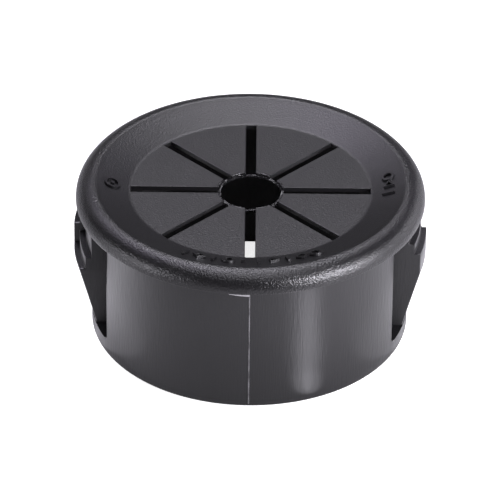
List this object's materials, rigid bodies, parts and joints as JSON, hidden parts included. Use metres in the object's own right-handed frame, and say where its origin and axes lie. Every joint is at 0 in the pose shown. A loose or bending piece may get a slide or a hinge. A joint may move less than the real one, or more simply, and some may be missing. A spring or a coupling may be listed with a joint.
{
  "type": "snap-in nylon bushing",
  "caption": "Round snap-in bushing that lines a hole in a sheet metal panel and closes it round a cable with a slit membrane.",
  "frame": {"origin": "centre of the shank's bottom rim, at the lowest point of the part", "axes": "+Z along the bushing's axis from the shank's rim to the flange, +X through the snap fingers, +Y through the mould's parting line"},
  "size_m": [0.0244, 0.0242, 0.0113],
  "materials": {
    "black_nylon": "fine matte grain"
  },
  "bodies": {
    "root": {"snap_bushing": "black_nylon"}
  },
  "joints": []
}
